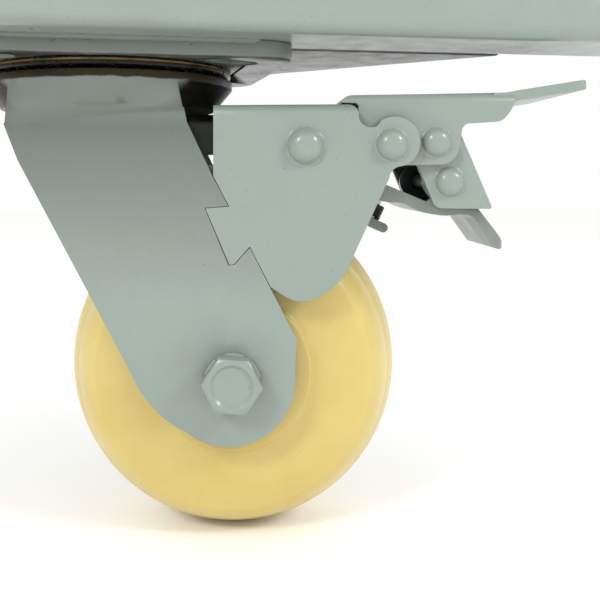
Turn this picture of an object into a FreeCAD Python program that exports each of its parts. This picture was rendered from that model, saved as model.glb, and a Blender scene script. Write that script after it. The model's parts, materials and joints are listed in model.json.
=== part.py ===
"""Swivel caster with a total-lock brake, welded under the corner of a rolling scaffold's base frame.

Frame: origin on the swivel axis at the top face of the mounting plate, +X along the front rail,
+Y towards the inside of the scaffold, +Z up. Millimetres.
Everything that turns about the swivel axis is drawn with the fork square to the rail and is then
turned by swivel_rest, the angle at which the caster stands. The wheel trails towards +X.
"""
import FreeCAD, Part
import Sketcher
import math
import os

Vector = FreeCAD.Vector
doc = FreeCAD.newDocument("scaffold_caster")

# ---------------------------------------------------------------- driving dimensions
DIMENSIONS = [
    ("swivel_rest", -10, "angle of the fork about the swivel axis, degrees"),
    ("rail_depth", 40, "rail section, across"),
    ("rail_height", 50, "rail section, upright"),
    ("rail_wall", 2.5, "rail wall"),
    ("rail_corner", 5, "rail outside corner radius"),
    ("rail_front", 68, "front face of the front rail, before the swivel axis"),
    ("rail_left", 72, "left end of the front rail, left of the swivel axis"),
    ("rail_right", 198, "right cut end of the front rail"),
    ("side_length", 196, "length of the side rail behind the front rail"),
    ("gusset_reach", 120, "x + y of the gusset's long edge"),
    ("gusset_thick", 5, "gusset plate"),
    ("plate_length", 127, "mounting plate along X"),
    ("plate_width", 101.6, "mounting plate along Y"),
    ("plate_thick", 6, "mounting plate"),
    ("plate_corner", 14, "mounting plate corner radius"),
    ("slot_width", 11, "width of the plate's bolt slots"),
    ("slot_in_x", 38.1, "slot's inner centre, half of the inner hole spacing along X"),
    ("slot_in_y", 38.1, "slot's inner centre, half of the inner hole spacing along Y"),
    ("slot_out_x", 46.0, "slot's outer centre along X"),
    ("slot_out_y", 33.3, "slot's outer centre along Y"),
    ("race_radius", 47, "outside radius of the fixed race"),
    ("race_base", 9.6, "underside of the fixed race below the plate's top"),
    ("rim_radius", 47.5, "outside radius of the fork crown's rim"),
    ("rim_top", 10.5, "top of the crown's rim below the plate's top"),
    ("rim_base", 13.4, "where the rim turns into the cone"),
    ("rim_wall", 3.6, "thickness of the rim"),
    ("flare_base", 25.3, "where the flare below the rim meets the upright leg, in the middle"),
    ("flare_slope", 5.3, "slope of that bend across the leg, degrees"),
    ("crown_top", 17.5, "top of the crown's floor"),
    ("crown_base", 21.5, "underside of the crown's floor"),
    ("ball_circle", 35, "radius of the main ball circle"),
    ("ball_radius", 3.15, "main balls"),
    ("small_ball_circle", 14, "radius of the lower ball circle"),
    ("small_ball_radius", 2.35, "lower balls"),
    ("kingpin_radius", 8, "kingpin shank"),
    ("kingpin_end", 43, "end of the kingpin below the plate's top"),
    ("ring_top", 28.2, "top of the toothed ring"),
    ("ring_base", 31.2, "underside of the toothed ring, where its teeth start"),
    ("ring_teeth", 3, "height of the ring's teeth"),
    ("ring_radius", 26, "outside radius of the toothed ring"),
    ("tooth_count", 24, "teeth round the ring"),
    ("leg_outer", 36, "outer face of each fork leg from the middle"),
    ("leg_thick", 4, "fork leg sheet"),
    ("axle_x", 48, "wheel axle behind the swivel axis"),
    ("axle_z", -117, "wheel axle height"),
    ("axle_radius", 6, "axle bolt"),
    ("wheel_radius", 61.5, "wheel, at the crown of its tread"),
    ("wheel_half", 25, "half of the wheel's width"),
    ("bearing_bore", 10, "bearing inner ring, bore radius"),
    ("bearing_radius", 22, "bearing outer ring, outside radius"),
    ("bearing_width", 14, "bearing width"),
    ("housing_thick", 3.5, "brake housing sheet"),
    ("housing_bend", 4, "outside bend radius of the brake housing"),
    ("lever_pivot_x", 73.4, "brake lever pivot"),
    ("lever_pivot_z", -36.0, "brake lever pivot"),
    ("pedal_pivot_x", 103.3, "pedal pivot"),
    ("pedal_pivot_z", -35.5, "pedal pivot"),
    ("link_pivot_x", 119.8, "pivot of the link on the pedal"),
    ("link_pivot_z", -34.5, "pivot of the link on the pedal"),
    ("knee_pivot_x", 125.2, "pivot of the link on the brake lever"),
    ("knee_pivot_z", -48.5, "pivot of the link on the brake lever"),
    ("pin_radius", 4, "lever and pedal pivot pins"),
    ("small_pin_radius", 3.5, "link pins"),
    ("pin_play", 0.05, "radial play of a pin in its hole"),
    ("knee_play", 0.5, "radial play of the knee pin in the brake lever"),
    ("pedal_outer", 31.5, "outer face of the pedal's flanges from the middle"),
    ("pedal_thick", 3, "pedal sheet"),
    ("pedal_bend", 4, "outside bend radius of the pedal"),
    ("pedal_travel", 24, "pedal stroke, degrees"),
    ("tread_half", 30.5, "half of the pedal tread's width"),
    ("link_outer", 28, "outer face of the link's flanges from the middle"),
    ("link_thick", 2.7, "link sheet"),
    ("link_bend", 3.5, "outside bend radius of the link"),
    ("lever_outer", 24.5, "outer face of the brake lever's flanges from the middle"),
    ("lever_thick", 3, "brake lever sheet"),
    ("lever_ratio", 0.3452, "turn of the brake lever for each degree of the pedal"),
    ("tongue_half", 20, "half of the release tongue's width"),
    ("shoe_outer", 21, "outer face of the brake shoe's flanges from the middle"),
    ("shoe_thick", 3.5, "brake shoe sheet"),
    ("tail_half", 9, "half of the width of the brake shoe's tail"),
    ("screw_radius", 2.5, "adjusting screw"),
    ("pawl_half", 8, "half of the swivel pawl's width"),
]

sheet = doc.addObject("Spreadsheet::Sheet", "dims")
for row, (alias, value, note) in enumerate(DIMENSIONS, start=1):
    sheet.set("A%d" % row, note)
    sheet.set("B%d" % row, str(value))
    sheet.setAlias("B%d" % row, alias)
doc.recompute()


def size(alias):
    """A driving dimension as a number."""
    return float(sheet.get(alias))


AXLE = (size("axle_x"), size("axle_z"))
LEVER_PIVOT = (size("lever_pivot_x"), size("lever_pivot_z"))
PEDAL_PIVOT = (size("pedal_pivot_x"), size("pedal_pivot_z"))
LINK_PIVOT = (size("link_pivot_x"), size("link_pivot_z"))
KNEE_PIVOT = (size("knee_pivot_x"), size("knee_pivot_z"))
LEVER_TRAVEL = size("pedal_travel") * size("lever_ratio")

FIXED = FreeCAD.Placement()
SWIVEL = FreeCAD.Placement(Vector(), FreeCAD.Rotation(Vector(0, 0, 1), size("swivel_rest")))


def at(point, group=SWIVEL):
    """Placement of a piece drawn about its own pivot, carried by a group."""
    return group.multiply(FreeCAD.Placement(Vector(point[0], 0, point[1]), FreeCAD.Rotation()))


# ---------------------------------------------------------------- drawing helpers
sub_parts = []


def new_body(label, placement=FIXED):
    body = doc.addObject("PartDesign::Body", label)
    body.Label = label
    body.Placement = placement
    sub_parts.append(body)
    return body


def new_sketch(body, role, name):
    """A sketch on one of the body's own origin planes."""
    plane = [item for item in body.Origin.OriginFeatures if item.Role == role][0]
    sketch = body.newObject("Sketcher::SketchObject", name)
    sketch.AttachmentSupport = (plane, [""])
    sketch.MapMode = "FlatFace"
    return sketch


def draw(sketch, start, *steps):
    """A closed outline: each step is a point, or a pair of points, the middle and end of an arc."""
    here = start
    for step in steps:
        if isinstance(step[0], tuple):
            middle, end = step
            sketch.addGeometry(Part.Arc(Vector(*here, 0), Vector(*middle, 0), Vector(*end, 0)), False)
        else:
            end = step
            sketch.addGeometry(Part.LineSegment(Vector(*here, 0), Vector(*end, 0)), False)
        here = end
    if math.dist(here, start) > 1e-6:
        sketch.addGeometry(Part.LineSegment(Vector(*here, 0), Vector(*start, 0)), False)


def draw_circle(sketch, centre, expression):
    """A circle whose radius is bound to the sheet."""
    index = sketch.addGeometry(Part.Circle(Vector(*centre, 0), Vector(0, 0, 1), 1), False)
    radius = sketch.addConstraint(Sketcher.Constraint("Radius", index, 1))
    sketch.setExpression("Constraints[%d]" % radius, expression)


def settled(feature):
    """Stop at once where a feature could not be made."""
    if "Invalid" in feature.State or "Error" in feature.State or feature.Shape.isNull():
        raise RuntimeError("%s could not be made: %s" % (feature.Label, feature.getStatusString()))


def pad(body, sketch, expression, side="Symmetric", reverse=False):
    feature = body.newObject("PartDesign::Pad", sketch.Name + "_pad")
    feature.Profile = sketch
    feature.SideType = side
    feature.Reversed = reverse
    feature.setExpression("Length", expression)
    doc.recompute()
    settled(feature)
    return feature


def pocket(body, sketch, expression=None):
    """Cut both ways from the sketch, through everything unless a length is given."""
    before = body.Tip.Shape.Volume
    feature = body.newObject("PartDesign::Pocket", sketch.Name + "_cut")
    feature.Profile = sketch
    feature.SideType = "Symmetric"
    if expression is None:
        feature.Type = "ThroughAll"
    else:
        feature.setExpression("Length", expression)
    doc.recompute()
    if not feature.Shape.Volume < before - 1e-3:
        raise RuntimeError("%s: %s cuts nothing" % (body.Label, sketch.Name))
    return feature


def raised(sketch, height, turn=FreeCAD.Rotation()):
    """Lift a sketch off its origin plane, and tilt it if a rotation is given."""
    sketch.AttachmentOffset = FreeCAD.Placement(Vector(0, 0, height), turn)
    doc.recompute()
    return sketch


def grooved(body, sketch):
    """Cut a full turn about the sketch's vertical axis."""
    feature = body.newObject("PartDesign::Groove", sketch.Name + "_cut")
    feature.Profile = sketch
    feature.ReferenceAxis = (sketch, ["V_Axis"])
    feature.Angle = 360
    doc.recompute()
    settled(feature)


def drill(body, centres, expression, name="holes"):
    """Round holes across the piece, in the XZ plane."""
    sketch = new_sketch(body, "XZ_Plane", name)
    for centre in centres:
        draw_circle(sketch, centre, expression)
    return pocket(body, sketch)


def spin(body, sketch):
    """A full turn about the sketch's vertical axis."""
    feature = body.newObject("PartDesign::Revolution", sketch.Name + "_turned")
    feature.Profile = sketch
    feature.ReferenceAxis = (sketch, ["V_Axis"])
    feature.Angle = 360
    doc.recompute()
    return feature


def round_bends(body, half, top, radius):
    """Round the two outside bends of a sheet channel that runs along X, under a flat top."""
    sketch = new_sketch(body, "YZ_Plane", "bends")
    short = radius * (1 - math.sqrt(0.5))
    for side in (1, -1):
        draw(sketch, (side * (half - radius), top),
             ((side * (half - short), top - short), (side * half, top - radius)),
             (side * (half + 2), top - radius), (side * (half + 2), top + 2), (side * (half - radius), top + 2))
    pocket(body, sketch)


def round_corners(body, half, end, bend):
    """Round the two corners at the +X end of a tongue of a given half width."""
    short = bend * (1 - math.sqrt(0.5))
    trim = new_sketch(body, "XY_Plane", "end_corners")
    for side in (1, -1):
        draw(trim, (end - bend, side * half),
             ((end - short, side * (half - short)), (end, side * (half - bend))),
             (end + 2, side * (half - bend)), (end + 2, side * (half + 2)), (end - bend, side * (half + 2)))
    pocket(body, trim)


def straight_along(edge, direction, least=2.0):
    """True for a straight edge that runs along a unit direction."""
    if edge.Curve.TypeId != "Part::GeomLine" or edge.Length < least:
        return False
    return abs(edge.tangentAt(edge.FirstParameter).dot(direction)) > 0.999


# ---------------------------------------------------------------- base frame of the scaffold
def rail(label, length_expression, placement):
    """A rectangular tube along its own X, with its underside at z = 0."""
    body = new_body(label, placement)
    half, tall = size("rail_depth") / 2, size("rail_height")
    wall, corner = size("rail_wall"), size("rail_corner")
    section = new_sketch(body, "YZ_Plane", label + "_section")
    for inset, radius in ((0, corner), (wall, corner - wall)):
        low, high, side = inset, tall - inset, half - inset
        bend = radius * (1 - math.sqrt(0.5))
        draw(section, (-side + radius, low), (side - radius, low),
             ((side - bend, low + bend), (side, low + radius)), (side, high - radius),
             ((side - bend, high - bend), (side - radius, high)), (-side + radius, high),
             ((-side + bend, high - bend), (-side, high - radius)), (-side, low + radius),
             ((-side + bend, low + bend), (-side + radius, low)))
    pad(body, section, length_expression, side="One side")
    return body


def base_frame():
    middle = -size("rail_front") + size("rail_depth") / 2
    back = -size("rail_front") + size("rail_depth")
    rail("base_rail", "dims.rail_left + dims.rail_right",
         FreeCAD.Placement(Vector(-size("rail_left"), middle, 0), FreeCAD.Rotation()))
    side_x = -size("rail_left") + size("rail_depth") / 2
    rail("side_rail", "dims.side_length",
         FreeCAD.Placement(Vector(side_x, back, 0), FreeCAD.Rotation(Vector(0, 0, 1), 90)))

    inner_x = -size("rail_left") + size("rail_depth")
    reach = size("gusset_reach")
    gusset = new_body("corner_gusset")
    outline = new_sketch(gusset, "XY_Plane", "gusset_outline")
    draw(outline, (inner_x, back), (reach - back, back), (inner_x, reach - inner_x))
    pad(gusset, outline, "dims.gusset_thick", side="One side")

    cap_depth, cap_lip = 10, 2.5
    half, tall = size("rail_depth") / 2, size("rail_height")
    play = size("rail_wall") + 0.15
    caps = []
    for base, turn in ((Vector(-size("rail_left"), middle, 0), 180),
                       (Vector(size("rail_right"), middle, 0), 0),
                       (Vector(side_x, back + size("side_length"), 0), 90)):
        lip = Part.makeBox(cap_lip, 2 * half, tall, Vector(0, -half, 0))
        lip = lip.makeFillet(size("rail_corner"), [edge for edge in lip.Edges
                                                   if straight_along(edge, Vector(1, 0, 0))])
        plug = Part.makeBox(cap_depth, 2 * (half - play), tall - 2 * play,
                            Vector(-cap_depth, play - half, play))
        plug = plug.makeFillet(size("rail_corner") - size("rail_wall"),
                               [edge for edge in plug.Edges if straight_along(edge, Vector(1, 0, 0))])
        cap = lip.fuse(plug).removeSplitter()
        cap.Placement = FreeCAD.Placement(base, FreeCAD.Rotation(Vector(0, 0, 1), turn))
        caps.append(cap)
    group("rail_end_caps", caps)

    plate_bead, bead = 2.5, 3.5
    edge, run = size("plate_width") / 2, size("plate_length") / 2 - size("plate_corner")
    group("plate_welds", [bead_along(Vector(-run, -edge, 0), Vector(1, 0, 0), 2 * run, plate_bead, 0),
                          bead_along(Vector(run, edge, 0), Vector(-1, 0, 0), 2 * run, plate_bead, 0)])
    thick, clear, tip = size("gusset_thick"), bead + 0.2, 12
    seam = reach - back - inner_x - tip - clear
    group("gusset_welds", [bead_along(Vector(inner_x + clear, back, thick), Vector(1, 0, 0), seam, bead, 1),
                           bead_along(Vector(inner_x, reach - inner_x - tip, thick), Vector(0, -1, 0),
                                      seam, bead, 1)])
    foot = thick + clear
    group("corner_weld", [bead_along(Vector(inner_x, back, foot), Vector(0, 0, 1),
                                     size("rail_height") - size("rail_corner") - foot, bead, 2)])


def bead_along(start, direction, length, radius, kind):
    """A quarter-round weld bead that fills the corner on the right of its direction."""
    quarter = Part.makeCylinder(radius, length, Vector(), Vector(0, 0, 1), 90)
    if kind == 0:      # hangs from a face above, outside the plate's edge
        axes = (Vector(0, 0, -1), direction.cross(Vector(0, 0, 1)), direction)
    elif kind == 1:    # lies on a face below, inside the corner of a rail
        axes = (Vector(0, 0, 1), Vector(0, 0, 1).cross(direction), direction)
    else:              # stands in the upright corner between two rails
        axes = (Vector(0, 1, 0), Vector(1, 0, 0), direction)
    if axes[0].cross(axes[1]).dot(axes[2]) < 0:
        axes = (axes[1], axes[0], axes[2])
    first, second, third = axes
    matrix = FreeCAD.Matrix(first.x, second.x, third.x, start.x, first.y, second.y, third.y, start.y,
                            first.z, second.z, third.z, start.z, 0, 0, 0, 1)
    quarter.Placement = FreeCAD.Placement(matrix)
    return quarter


def group(label, shapes, placement=FIXED):
    """Several like solids in one sub-part."""
    feature = doc.addObject("Part::Feature", label)
    feature.Label = label
    feature.Shape = Part.makeCompound(shapes)
    feature.Placement = placement
    sub_parts.append(feature)
    return feature


def spoke(turn, low, high, half):
    """Corners of a bar that points outwards at an angle, between two radii."""
    out, across = (math.cos(turn), math.sin(turn)), (-math.sin(turn), math.cos(turn))
    return [(out[0] * far + across[0] * shift, out[1] * far + across[1] * shift)
            for far, shift in ((low, -half), (high, -half), (high, half), (low, half))]


# ---------------------------------------------------------------- fixed half of the swivel head
def swivel_head():
    half_x, half_y, corner = size("plate_length") / 2, size("plate_width") / 2, size("plate_corner")
    plate = new_body("top_plate")
    outline = new_sketch(plate, "XY_Plane", "plate_outline")
    bend = corner * (1 - math.sqrt(0.5))
    draw(outline, (-half_x + corner, -half_y), (half_x - corner, -half_y),
         ((half_x - bend, -half_y + bend), (half_x, -half_y + corner)), (half_x, half_y - corner),
         ((half_x - bend, half_y - bend), (half_x - corner, half_y)), (-half_x + corner, half_y),
         ((-half_x + bend, half_y - bend), (-half_x, half_y - corner)), (-half_x, -half_y + corner),
         ((-half_x + bend, -half_y + bend), (-half_x + corner, -half_y)))
    pad(plate, outline, "dims.plate_thick", side="One side", reverse=True)
    slots = new_sketch(plate, "XY_Plane", "plate_slots")
    inner = Vector(size("slot_in_x"), size("slot_in_y"))
    outer = Vector(size("slot_out_x"), size("slot_out_y"))
    along = (outer - inner).normalize() * (size("slot_width") / 2)
    side = Vector(-along.y, along.x)
    for flip_x in (1, -1):
        for flip_y in (1, -1):
            corners = [outer + side, outer + along, outer - side, inner - side, inner - along, inner + side]
            spots = [(flip_x * spot.x, flip_y * spot.y) for spot in corners]
            draw(slots, spots[0], (spots[1], spots[2]), spots[3], (spots[4], spots[5]))
    pocket(plate, slots)
    bore = new_sketch(plate, "XY_Plane", "plate_bore")
    draw_circle(bore, (0, 0), "dims.kingpin_radius")
    pocket(plate, bore)

    race = new_body("upper_race")
    section = new_sketch(race, "XZ_Plane", "upper_race_section")
    top, low, circle = -size("plate_thick"), -size("race_base"), size("ball_circle")
    wide = 2.2
    draw(section, (20, top), (20, low), (circle - wide, low), ((circle, low + 1.0), (circle + wide, low)),
         (size("race_radius") - 1, low), (size("race_radius"), low + 1), (size("race_radius"), top))
    spin(race, section)

    kingpin = new_body("kingpin")
    section = new_sketch(kingpin, "XZ_Plane", "kingpin_section")
    radius, end = size("kingpin_radius") - 0.02, -size("kingpin_end")
    draw(section, (0, -0.2), (radius, -0.2), (radius, end + 1.2), (radius - 1.2, end), (0, end))
    spin(kingpin, section)

    cup = new_body("retaining_cup")
    section = new_sketch(cup, "XZ_Plane", "retaining_cup_section")
    cup_top, cup_low = -26.7, -size("ring_top")
    draw(section, (size("kingpin_radius") + 0.05, cup_low), (18, cup_low), (18, cup_top),
         (size("kingpin_radius") + 0.05, cup_top))
    spin(cup, section)

    ring = new_body("lock_ring")
    section = new_sketch(ring, "XZ_Plane", "lock_ring_section")
    bore_radius = size("kingpin_radius") + 0.05
    draw(section, (bore_radius, -size("ring_top")), (size("ring_radius"), -size("ring_top")),
         (size("ring_radius"), -size("ring_base") - size("ring_teeth")),
         (19, -size("ring_base") - size("ring_teeth")), (19, -size("ring_base")),
         (bore_radius, -size("ring_base")))
    spin(ring, section)
    gaps = new_sketch(ring, "XY_Plane", "lock_ring_gaps")
    gap_half, count = 1.6, int(size("tooth_count"))
    for number in range(count):
        turn = math.radians(size("swivel_rest") + 360 * number / count)
        draw(gaps, *spoke(turn, 18, 28, gap_half))
    raised(gaps, -size("ring_base") - size("ring_teeth"))
    pocket(ring, gaps, "2 * dims.ring_teeth")

    nut = hex_body("kingpin_nut", 24, 9.5, size("kingpin_radius") + 0.05)
    nut.Placement = FreeCAD.Placement(Vector(0, 0, -size("ring_base") - 9.5), FreeCAD.Rotation())


def hex_body(label, across_flats, thick, bore_radius, placement=FIXED, crown=0.0):
    """A hexagon about its own Z with chamfered corners, from z = 0 up."""
    body = new_body(label, placement)
    outline = new_sketch(body, "XY_Plane", label + "_outline")
    corner = across_flats / math.sqrt(3)
    spots = [(corner * math.cos(math.radians(60 * step)), corner * math.sin(math.radians(60 * step)))
             for step in range(6)]
    draw(outline, *spots)
    feature = body.newObject("PartDesign::Pad", label + "_prism")
    feature.Profile = outline
    feature.Length = thick
    doc.recompute()
    chamfer = new_sketch(body, "XZ_Plane", label + "_chamfer")
    fall = 0.55
    flat = across_flats / 2 - 0.2
    drop = (corner - flat) * fall
    draw(chamfer, (flat, thick), (corner + 2, thick), (corner + 2, thick - drop - 2 * fall),
         (corner, thick - drop))
    grooved(body, chamfer)
    if crown:
        dish = new_sketch(body, "XZ_Plane", label + "_dish")
        draw(dish, (0, thick), (crown + 0.8, thick), (crown - 0.2, thick - 0.9), (0, thick - 0.9))
        grooved(body, dish)
    if bore_radius:
        bore = new_sketch(body, "XY_Plane", label + "_bore")
        draw(bore, (bore_radius, 0), ((0, bore_radius), (-bore_radius, 0)),
             ((0, -bore_radius), (bore_radius, 0)))
        pocket(body, bore)
    return body


def ball_ring(label, circle, radius, height, count, placement=FIXED):
    """Balls on a circle about the group's own Z axis."""
    balls = []
    for number in range(count):
        turn = 2 * math.pi * number / count
        balls.append(Part.makeSphere(radius, Vector(circle * math.cos(turn), circle * math.sin(turn), height)))
    return group(label, balls, placement)


# ---------------------------------------------------------------- fork
# The seam between a fork leg and the brake housing, and the tab of the housing that hooks into the leg.
SEAM_TOP, SEAM_LOW = (41.3, -46.4), (61.2, -84.9)
NOTCH = ((46.8, -56.8), (38.6, -57.4), (46.9, -77.2), (48.6, -77.0), (54.1, -70.9))
LEG_GAP = ((-0.15, 0), (-0.15, 0), (-0.15, -0.2), (0.15, -0.2), (0, -0.3))
TAB_GAP = ((0.15, -0.2), (0.15, -0.2), (0.15, 0), (0, 0), (0, 0.1))
SEAM_GAP = 0.15


def hook(gaps):
    """The points of the hook, drawn back from the seam by a small gap each."""
    return [(x + across, z + up) for (x, z), (across, up) in zip(NOTCH, gaps)]


def fork():
    body = new_body("fork", SWIVEL)
    crown = new_sketch(body, "XZ_Plane", "crown_section")
    rim, low, bore = size("rim_radius"), -size("crown_base"), size("kingpin_radius") + 1
    lip = rim - size("rim_wall")
    cone = 40.6
    draw(crown, (bore, -size("crown_top")), (bore, low), (cone, low), (rim, -size("rim_base")),
         (rim, -size("rim_top")), (lip, -size("rim_top")), (lip, -size("rim_base")),
         (cone - 1.5, -size("crown_top")))
    spin(body, crown)

    legs = new_sketch(body, "XZ_Plane", "leg_outline")
    half_top = 31.2
    tilt = math.radians(size("flare_slope"))
    left_top = (-half_top, -size("flare_base") - half_top * math.tan(tilt))
    right_top = (half_top, -size("flare_base") + half_top * math.tan(tilt))
    notch = hook(LEG_GAP)
    draw(legs, left_top, (-26.2, -41.0), (13.0, -114.6), ((21.2, -127.3), (33.0, -135.6)),
         ((47.5, -140.2), (62.5, -134.0)), ((68.2, -125.5), (69.8, -113.5)), (70.3, -103.1),
         (SEAM_LOW[0] - SEAM_GAP, SEAM_LOW[1]), notch[4], notch[3], notch[2], notch[1], notch[0],
         (SEAM_TOP[0] - SEAM_GAP, SEAM_TOP[1]), (32.2, -27.5), right_top)
    pad(body, legs, "2 * dims.leg_outer")
    room = new_sketch(body, "YZ_Plane", "wheel_room")
    inner = size("leg_outer") - size("leg_thick")
    draw(room, (-inner, -150), (inner, -150), (inner, low), (-inner, low))
    pocket(body, room)

    for side in (1, -1):
        flare(body, side)
    stiffener = new_sketch(body, "XZ_Plane", "stiffener_outline")
    draw(stiffener, (26, low + 1), (41.2, low + 1), (41.2, low - 16), (26, low - 16))
    raised(stiffener, -inner - 0.2)
    plate = body.newObject("PartDesign::Pad", "stiffener")
    plate.Profile = stiffener
    plate.Length = 2.7
    doc.recompute()
    settled(plate)

    cavity = new_sketch(body, "XY_Plane", "race_cavity")
    draw_circle(cavity, (0, 0), "dims.rim_radius - dims.rim_wall - 1.2")
    raised(cavity, -size("crown_top"))
    clear = body.newObject("PartDesign::Pocket", "race_cavity_cut")
    clear.Profile = cavity
    clear.Reversed = True
    clear.Length = 10
    doc.recompute()
    drill(body, [AXLE], "dims.axle_radius + 0.2", "axle_hole")


def flare(body, side):
    """The sheet below the rim, from the round rim to the straight bend at the head of a leg."""
    bite, inset = 0.6, 0.05
    rim, wall = size("rim_radius") - inset, size("leg_thick")
    half_top, half_low = 29.0, 31.0
    rim_out = -side * math.sqrt(rim ** 2 - half_top ** 2)
    rim_in = -side * math.sqrt((rim - wall) ** 2 - half_top ** 2)
    top = new_sketch(body, "XY_Plane", "flare_top")
    draw(top, (-half_top, rim_out), ((0, -side * rim), (half_top, rim_out)),
         (half_top, rim_in), ((0, -side * (rim - wall)), (-half_top, rim_in)))
    raised(top, -size("rim_base") + bite)
    low = new_sketch(body, "XY_Plane", "flare_low")
    outer, inner = -side * (size("leg_outer") - inset), -side * (size("leg_outer") - wall + inset)
    draw(low, (-half_low, outer), (half_low, outer), (half_low, inner), (-half_low, inner))
    raised(low, -size("flare_base") - bite, FreeCAD.Rotation(Vector(0, 1, 0), -size("flare_slope")))
    sheet_loft = body.newObject("PartDesign::AdditiveLoft", "flare")
    sheet_loft.Profile = top
    sheet_loft.Sections = [low]
    sheet_loft.Ruled = True
    doc.recompute()
    settled(sheet_loft)


def fork_bearings():
    """The moving race in the crown and the two rows of balls."""
    race = new_body("lower_race", SWIVEL)
    section = new_sketch(race, "XZ_Plane", "lower_race_section")
    floor, rise = -size("crown_top"), 1.9
    circle, wide = size("ball_circle"), 2.4
    draw(section, (28, floor), (41, floor), (41, floor + rise), (circle + wide, floor + rise),
         ((circle, floor + rise - 1.0), (circle - wide, floor + rise)), (28, floor + rise))
    spin(race, section)
    height = floor + rise - 1.0 + size("ball_radius") + 0.02
    ball_ring("main_balls", circle, size("ball_radius"), height, 28, SWIVEL)
    ball_ring("lower_balls", size("small_ball_circle"), size("small_ball_radius"),
              -size("crown_base") - size("small_ball_radius") - 0.05, 16, SWIVEL)


# ---------------------------------------------------------------- brake housing
def brake_housing():
    body = new_body("brake_housing", SWIVEL)
    outline = new_sketch(body, "XZ_Plane", "housing_outline")
    tab = hook(TAB_GAP)
    draw(outline, (SEAM_TOP[0] + SEAM_GAP, -21.7), (88.4, -21.3), ((91.0, -22.6), (91.8, -25.0)),
         ((93.0, -28.3), (96.0, -29.5)), ((98.0, -29.1), (99.6, -27.2)), ((111.0, -28.9), (109.6, -41.7)),
         ((107.8, -42.7), (105.8, -43.1)), ((103.9, -44.1), (102.4, -47.1)), (90.1, -73.8),
         ((85.0, -83.0), (77.4, -88.5)), ((71.6, -89.8), (66.2, -88.0)), (SEAM_LOW[0] + SEAM_GAP, SEAM_LOW[1]),
         tab[4], tab[3], tab[2], tab[1], tab[0], (SEAM_TOP[0] + SEAM_GAP, SEAM_TOP[1]))
    pad(body, outline, "2 * dims.leg_outer")
    room = new_sketch(body, "YZ_Plane", "housing_room")
    inner, roof = size("leg_outer") - size("housing_thick"), -21.7 - size("housing_thick")
    draw(room, (-inner, -120), (inner, -120), (inner, roof - 1), ((inner - 0.3, roof - 0.3), (inner - 1, roof)),
         (1 - inner, roof), ((0.3 - inner, roof - 0.3), (-inner, roof - 1)))
    pocket(body, room)
    drill(body, [LEVER_PIVOT, PEDAL_PIVOT], "dims.pin_radius + 0.02", "housing_holes")
    round_bends(body, size("leg_outer"), -21.3, size("housing_bend"))


def rivet(label, point, half_grip, pin, head_radius, head_height):
    """A pin across the piece with a domed head on each side."""
    body = new_body(label, at(point))
    section = new_sketch(body, "XY_Plane", label + "_section")
    rim = 0.8
    low, high = half_grip, half_grip + head_height
    dome = head_height - rim
    sphere = (head_radius ** 2 + dome ** 2) / (2 * dome)
    half_way = math.asin(head_radius / sphere) / 2
    across, drop = sphere * math.sin(half_way), sphere * (1 - math.cos(half_way))
    draw(section, (0, -high), ((across, drop - high), (head_radius, -low - rim)),
         (head_radius - 0.3, -low), (pin, -low), (pin, low), (head_radius - 0.3, low), (head_radius, low + rim),
         ((across, high - drop), (0, high)))
    spin(body, section)


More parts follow.
